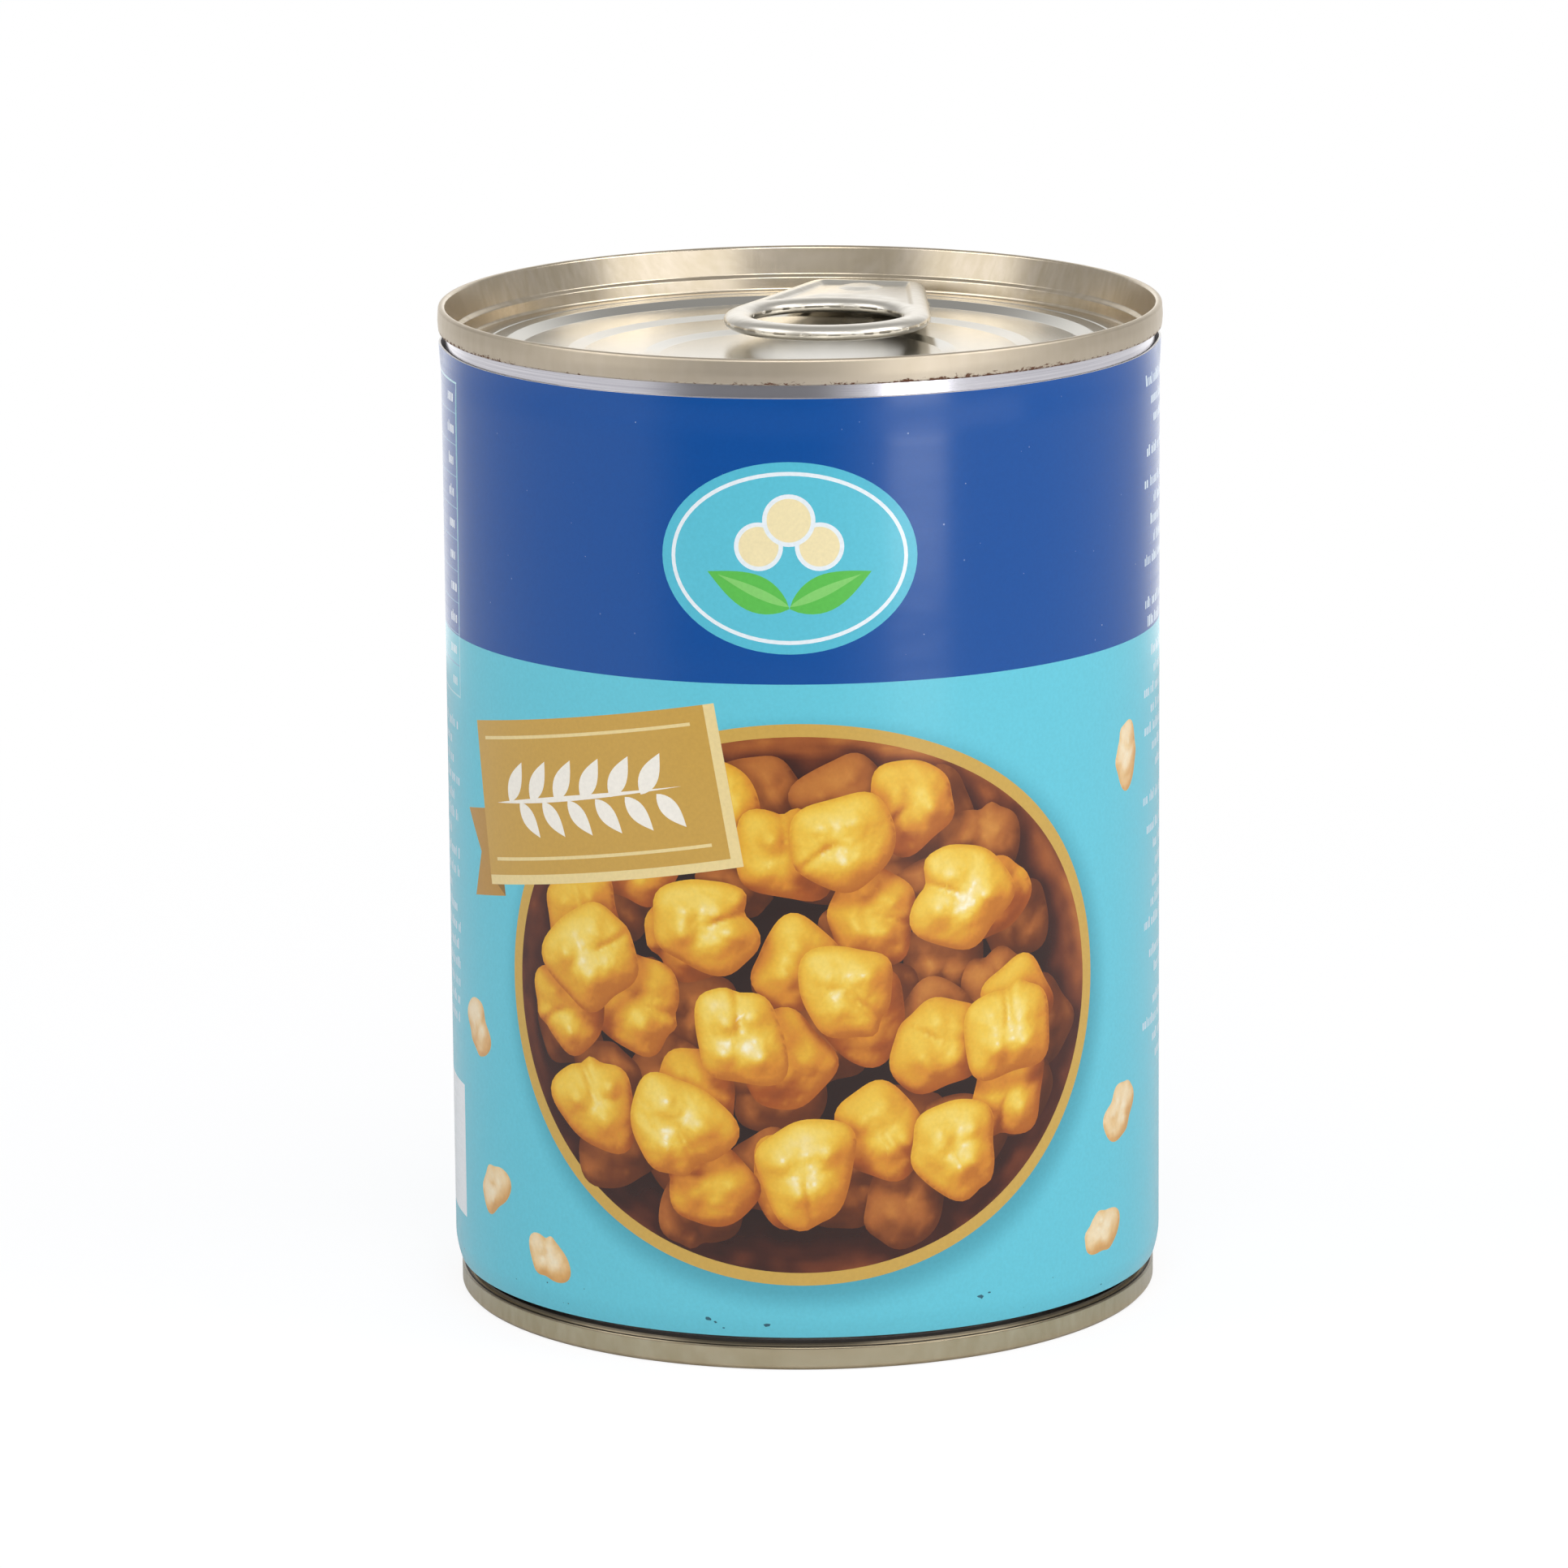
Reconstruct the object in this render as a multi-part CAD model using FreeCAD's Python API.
import FreeCAD, Part
import math
import os

from FreeCAD import Vector

# A shut, ring-pull tin can with a loose paper label.
# Millimetres, +Z up, origin on the floor at the centre of the can; the ring of the tab points to -Y.
# Every round piece is one closed outline in the XZ plane, turned about the Z axis.

# --- The can as a whole -------------------------------------------------------------------------
overall_height = 106.0          # floor to the crest of the upper seam
body_radius = 37.55             # outside of the tinplate wall, under the label
seating_width = 0.5             # flat ring of the lower seam that stands on the floor

# --- Upper double seam and chuck wall of the lid ------------------------------------------------
seam_overhang = 0.55            # the upper seam stands out past the wall by this much
seam_height = 2.7
seam_thickness = 0.75           # inside face of the seam to its outside face, at the crest
seam_crest_round = 0.36
seam_foot_round = 0.3
end_plate = 0.25                # tinplate of lid and base
chuck_wall_draft = 0.7          # how far the wall leans in over the height of the seam
chuck_ledge = 0.4               # step inward below the seam
chuck_ledge_drop = 0.3
chuck_foot_draft = 0.25         # further lean between the ledge and the countersink
chuck_round = 0.3

# --- Stepped lid panel: distances run in from the foot of the chuck wall ---------------------------
countersink_depth = 4.75        # below the crest of the upper seam
countersink_width = 0.75
countersink_round = 0.45
panel_rise = 0.25               # the panel edge stands this much above the countersink
panel_edge_run = 0.6            # slope from the countersink up to the panel edge
score_inset = 2.8               # thin groove where the lid tears
score_width = 0.3
score_depth = 0.1
# Each step leads down towards the middle: distance in to its top, width of its slope, drop.
lid_steps = [
    (4.6, 1.4, 0.7),
    (11.4, 1.6, 0.3),
    (19.6, 1.5, 0.3),
]
step_round = 0.5

# --- Neck, lower double seam and recessed base ----------------------------------------------------
top_neck_inset = 0.3            # the bare wall just under the upper seam is this much slimmer
top_neck_height = 3.3           # straight part of that neck, below the seam
top_neck_slope = 3.0            # height over which the wall widens to the body radius
top_neck_round = 2.0
base_seam_inset = 0.4           # the lower seam stays inside the wall, so that cans stack
base_seam_height = 2.7
base_seam_thickness = 1.25
base_seam_round = 0.4
seat_round = 0.1
base_neck_inset = 1.25
base_neck_straight = 0.4        # straight part of the neck, above the lower seam
base_neck_slope = 2.5
base_neck_round = 1.2
base_wall_draft = 0.5
base_countersink_height = 3.75  # heights of the recessed base are above the floor
base_countersink_width = 0.6
base_sink_round = 0.3
base_panel_height = 3.2
base_panel_run = 1.1
base_bead_insets = [8.9, 15.4, 21.9]    # from the top of the recess wall to each ring bead
base_bead_width = 2.4
base_bead_drop = 0.45
base_bead_round = 0.6

# --- Paper label ----------------------------------------------------------------------------------
label_thickness = 0.15
label_clearance = 0.07          # between the paper and the straight wall
label_bottom_gap = 0.9          # bare metal between the lower seam and the label
label_top_gap = 1.4             # bare metal between the label and the upper seam
label_hem_tuck = 0.4            # how far the lower edge turns in over the neck
label_hem_height = 2.0
label_hem_round = 2.0

# --- Ring-pull tab: lies flat over the panel, nose towards the seam --------------------------------
tab_bearing = 14.0              # degrees clockwise of +Y, seen from above, of the rivet
tab_lean = 12.0                 # degrees clockwise of +Y of the tab's own length
nose_to_score = 1.0             # the nose ends this far inside the score line
ring_to_rivet = 17.7            # centre of the finger ring to the rivet
rivet_to_nose = 5.0
ring_outer_radius = 11.0
ring_hole_radius = 8.1
nose_half_width = 6.7
nose_corner = 2.6
tab_thickness = 1.6
tab_edge_round = 0.65
tab_clearance = 0.2             # between the tab and the panel edge under its nose
tab_rim_width = 2.1             # rolled edge round the plate
plate_sink = 0.45               # the plate lies this far inside the rolled edge, above and below
plate_corner = 1.5
hinge_slot_radius = 3.6         # curved slot that lets the rivet's island bend
hinge_slot_width = 0.5
hinge_slot_half_angle = 110.0

# --- Rivet ----------------------------------------------------------------------------------------
rivet_foot_radius = 2.1
rivet_shank_radius = 1.5
rivet_head_radius = 2.4
rivet_head_height = 0.45
rivet_clearance = 0.1           # round the shank and above the plate
rivet_dimple_radius = 1.3
rivet_dimple_depth = 0.3
rivet_round = 0.2

# --- Sizes that follow from the ones above ----------------------------------------------------------
seam_radius = body_radius + seam_overhang
seam_inside = seam_radius - seam_thickness
seam_foot = overall_height - seam_height
chuck_wall_radius = seam_inside - chuck_wall_draft
wall_foot = chuck_wall_radius - chuck_ledge - chuck_foot_draft
panel_edge_depth = countersink_depth - panel_rise
score_radius = wall_foot - score_inset
top_neck_radius = body_radius - top_neck_inset
base_seam_radius = body_radius - base_seam_inset
base_seam_inside = base_seam_radius - base_seam_thickness
base_neck_radius = body_radius - base_neck_inset
rivet_distance = score_radius - nose_to_score - rivet_to_nose
tab_low = overall_height - panel_edge_depth + tab_clearance
tab_top = tab_low + tab_thickness


def rounded_outline(corners):
    """Closed face in the XZ plane from (x, z, corner radius); a radius of 0 keeps the corner sharp."""
    count = len(corners)
    points = [Vector(x, 0, z) for x, z, _ in corners]
    starts = []
    ends = []
    edges = []
    for index in range(count):
        here = points[index]
        radius = corners[index][2]
        back = (points[index - 1] - here).normalize()
        ahead = (points[(index + 1) % count] - here).normalize()
        half_turn = back.getAngle(ahead) / 2
        if radius == 0 or half_turn > math.radians(89.9):
            starts.append(here)
            ends.append(here)
            continue
        reach = radius / math.tan(half_turn)
        to_centre = (back + ahead).normalize()
        middle = here + to_centre * (radius / math.sin(half_turn) - radius)
        starts.append(here + back * reach)
        ends.append(here + ahead * reach)
        edges.append((index, Part.Arc(starts[index], middle, ends[index]).toShape()))
    arcs = dict(edges)
    outline = []
    for index in range(count):
        if index in arcs:
            outline.append(arcs[index])
        outline.append(Part.makeLine(ends[index], starts[(index + 1) % count]))
    return Part.Face(Part.Wire(outline))


def turned(corners):
    """Solid of revolution about the Z axis."""
    face = rounded_outline(corners)
    return face.revolve(Vector(0, 0, 0), Vector(0, 0, 1), 360)


def lid_surface(lift):
    """Corners of the lid's upper face from the chuck wall to the axis, shifted up by lift."""
    crest = overall_height + lift
    ledge = seam_foot - chuck_ledge_drop + lift
    floor_inner = wall_foot - countersink_width
    corners = [
        (chuck_wall_radius, ledge, chuck_round),
        (chuck_wall_radius - chuck_ledge, ledge - chuck_ledge_drop, chuck_round),
        (wall_foot, crest - countersink_depth, countersink_round),
        (floor_inner, crest - countersink_depth, countersink_round / 2),
        (floor_inner - panel_edge_run, crest - panel_edge_depth, countersink_round),
    ]
    depth = panel_edge_depth
    for inset, run, drop in lid_steps:
        corners.append((wall_foot - inset, crest - depth, step_round))
        depth = depth + drop
        corners.append((wall_foot - inset - run, crest - depth, step_round))
    corners.append((0, crest - depth, 0))
    return corners


def lid_underside():
    """The same face one plate thickness below; its first three corners lie on the steep wall."""
    corners = lid_surface(-end_plate)
    wall = [(x + end_plate, z, radius) for x, z, radius in corners[:3]]
    return wall + corners[3:]


def base_surface(lift):
    """Corners of the recessed base from the lower seam's inside to the axis, shifted up by lift."""
    wall_top = base_seam_inside - base_wall_draft
    sink_inner = wall_top - base_countersink_width
    corners = [
        (wall_top, base_countersink_height + lift, base_sink_round),
        (sink_inner, base_countersink_height + lift, base_sink_round),
        (sink_inner - base_panel_run, base_panel_height + lift, base_bead_round),
    ]
    half = base_bead_width / 2
    for inset in base_bead_insets:
        radius = wall_top - inset
        corners.append((radius + half, base_panel_height + lift, base_bead_round))
        corners.append((radius, base_panel_height - base_bead_drop + lift, base_bead_round))
        corners.append((radius - half, base_panel_height + lift, base_bead_round))
    corners.append((0, base_panel_height + lift, 0))
    return corners


def base_upper_face():
    """The base's inner face one plate thickness up, from the axis out to the wall."""
    corners = base_surface(end_plate)
    x, z, radius = corners[0]
    corners[0] = (x + end_plate, z, radius)
    corners.reverse()
    return corners


def make_lid():
    """Easy-open end: double seam, chuck wall, countersink and stepped panel with its score line."""
    under = lid_underside()
    under.reverse()
    lid = turned([
        (chuck_wall_radius + end_plate, seam_foot, 0),
        (seam_radius, seam_foot, seam_foot_round),
        (seam_radius, overall_height, seam_crest_round),
        (seam_inside, overall_height, seam_crest_round),
    ] + lid_surface(0) + under)
    groove_top = overall_height - panel_edge_depth + score_depth
    half = score_width / 2
    groove = turned([
        (score_radius - half, groove_top, 0),
        (score_radius, groove_top - 2 * score_depth, 0),
        (score_radius + half, groove_top, 0),
    ])
    return lid.cut(groove)


def make_base_end():
    """Plain end: lower double seam with a flat seating ring, countersink and beaded panel."""
    middle = base_seam_radius - base_seam_thickness / 2
    half_seat = seating_width / 2
    return turned([
        (base_neck_radius, base_seam_height, 0),
        (base_seam_radius, base_seam_height, base_seam_round / 2),
        (base_seam_radius, base_seam_round, base_seam_round / 2),
        (middle + half_seat, 0, seat_round),
        (middle - half_seat, 0, seat_round),
        (base_seam_inside, base_seam_round, base_seam_round / 2),
    ] + base_surface(0) + base_upper_face())


def make_body():
    """Filled tinplate body between the lid and the base, with both necks."""
    neck_top = seam_foot - top_neck_height
    neck_foot = base_seam_height + base_neck_straight
    return turned([
        (base_neck_radius, base_seam_height, 0),
        (base_neck_radius, neck_foot, base_neck_round),
        (body_radius, neck_foot + base_neck_slope, base_neck_round),
        (body_radius, neck_top - top_neck_slope, top_neck_round),
        (top_neck_radius, neck_top, top_neck_round),
        (top_neck_radius, seam_foot, 0),
        (chuck_wall_radius + end_plate, seam_foot, 0),
    ] + lid_underside() + base_upper_face())


def make_label():
    """Paper tube: straight up to its free upper edge, tucked in over the lower neck."""
    inner = body_radius + label_clearance
    outer = inner + label_thickness
    foot = base_seam_height + label_bottom_gap
    hem = foot + label_hem_height
    top = seam_foot - label_top_gap
    return turned([
        (inner - label_hem_tuck, foot, 0),
        (outer - label_hem_tuck, foot, 0),
        (outer, hem, label_hem_round),
        (outer, top, 0),
        (inner, top, 0),
        (inner, hem, label_hem_round),
    ])


def tab_place(shape):
    """Move a shape from the tab's own frame, with the rivet at the origin and the nose to +Y."""
    turn = FreeCAD.Rotation(Vector(0, 0, 1), -tab_lean)
    bearing = math.radians(tab_bearing)
    rivet = Vector(rivet_distance * math.sin(bearing), rivet_distance * math.cos(bearing), 0)
    placed = shape.copy()
    placed.Placement = FreeCAD.Placement(rivet, turn)
    return placed


def tab_outline(inset):
    """Plan of the tab: a round finger end whose sides run in tangents to a narrower nose."""
    radius = ring_outer_radius - inset
    nose = nose_half_width - inset
    length = ring_to_rivet + rivet_to_nose - inset
    centre = Vector(0, -ring_to_rivet, 0)
    # The tangent from the nose corner to the ring's circle gives the taper of the sides.
    span = math.hypot(nose, length)
    tangent = math.atan2(length, nose) - math.acos(radius / span)
    side = centre + Vector(radius * math.cos(tangent), radius * math.sin(tangent), 0)
    corner = centre + Vector(nose, length, 0)
    left_side = Vector(-side.x, side.y, 0)
    left_corner = Vector(-corner.x, corner.y, 0)
    near = centre - Vector(0, radius, 0)
    return Part.Wire([
        Part.Arc(left_side, near, side).toShape(),
        Part.makeLine(side, corner),
        Part.makeLine(corner, left_corner),
        Part.makeLine(left_corner, left_side),
    ])


def vertical_edges(shape, least_y):
    """Straight upright edges of a prism beyond a given place along the tab."""
    found = []
    for edge in shape.Edges:
        box = edge.BoundBox
        if box.ZLength > 0.9 * shape.BoundBox.ZLength and box.YLength < 0.01 and box.YMin > least_y:
            found.append(edge)
    return found


def prism(wire, low, high):
    """Upright prism over a plan outline."""
    face = Part.Face(wire)
    face.translate(Vector(0, 0, low))
    return face.extrude(Vector(0, 0, high - low))


def make_tab():
    """Ring and nose stamped from one strip: rolled rim, sunken plate, finger hole and hinge slot."""
    ring_centre = Vector(0, -ring_to_rivet, tab_low)
    blank = prism(tab_outline(0), tab_low, tab_top)
    blank = blank.makeFillet(nose_corner, vertical_edges(blank, 0))
    hole = Part.makeCylinder(ring_hole_radius, tab_thickness, ring_centre)
    tab = blank.cut(hole)
    level = [edge for edge in tab.Edges if edge.BoundBox.ZLength < 0.01]
    tab = tab.makeFillet(tab_edge_round, level)
    # The plate between the finger hole and the nose is sunk from both faces.
    rim_circle = ring_hole_radius + tab_rim_width
    for floor, roof in ((tab_top - plate_sink, tab_top), (tab_low, tab_low + plate_sink)):
        pocket = prism(tab_outline(tab_rim_width), floor, roof)
        pocket = pocket.cut(Part.makeCylinder(rim_circle, roof - floor, Vector(0, -ring_to_rivet, floor)))
        pocket = max(pocket.Solids, key=lambda solid: solid.CenterOfMass.y)
        pocket = pocket.makeFillet(plate_corner, vertical_edges(pocket, 0))
        tab = tab.cut(pocket)
    foot = Vector(0, 0, tab_low)
    shank_hole = Part.makeCylinder(rivet_shank_radius + rivet_clearance, tab_thickness, foot)
    slot_outside = hinge_slot_radius + hinge_slot_width / 2
    slot_inside = hinge_slot_radius - hinge_slot_width / 2
    slot = Part.makeCylinder(slot_outside, tab_thickness, foot, Vector(0, 0, 1), 2 * hinge_slot_half_angle)
    slot = slot.cut(Part.makeCylinder(slot_inside, tab_thickness, foot))
    slot.rotate(Vector(0, 0, 0), Vector(0, 0, 1), -90 - hinge_slot_half_angle)
    return tab_place(tab.cut(shank_hole).cut(slot))


def make_rivet():
    """Button drawn up from the panel, through the tab's plate and flattened over it."""
    panel = overall_height - panel_edge_depth - lid_steps[0][2]
    plate_low = tab_low + plate_sink
    head_low = tab_top - plate_sink + rivet_clearance
    head_top = head_low + rivet_head_height
    return tab_place(turned([
        (0, panel, 0),
        (rivet_foot_radius, panel, 0),
        (rivet_foot_radius, plate_low - rivet_clearance, rivet_round),
        (rivet_shank_radius, plate_low - rivet_clearance, 0),
        (rivet_shank_radius, head_low, 0),
        (rivet_head_radius, head_low, rivet_round / 2),
        (rivet_head_radius, head_top, rivet_round),
        (rivet_dimple_radius, head_top, rivet_round / 2),
        (rivet_dimple_radius - rivet_dimple_depth, head_top - rivet_dimple_depth, rivet_round / 2),
        (0, head_top - rivet_dimple_depth, 0),
    ]))


os.makedirs("parts", exist_ok=True)
nodes = {
    "can_body": make_body(),
    "lid": make_lid(),
    "base_end": make_base_end(),
    "paper_label": make_label(),
    "pull_tab": make_tab(),
    "rivet": make_rivet(),
}
for name, shape in nodes.items():
    solids = shape.Solids
    print(name, "solids", len(solids), "volume", round(shape.Volume, 2), "valid", shape.isValid())
    solids[0].exportStep("parts/" + name + ".step")
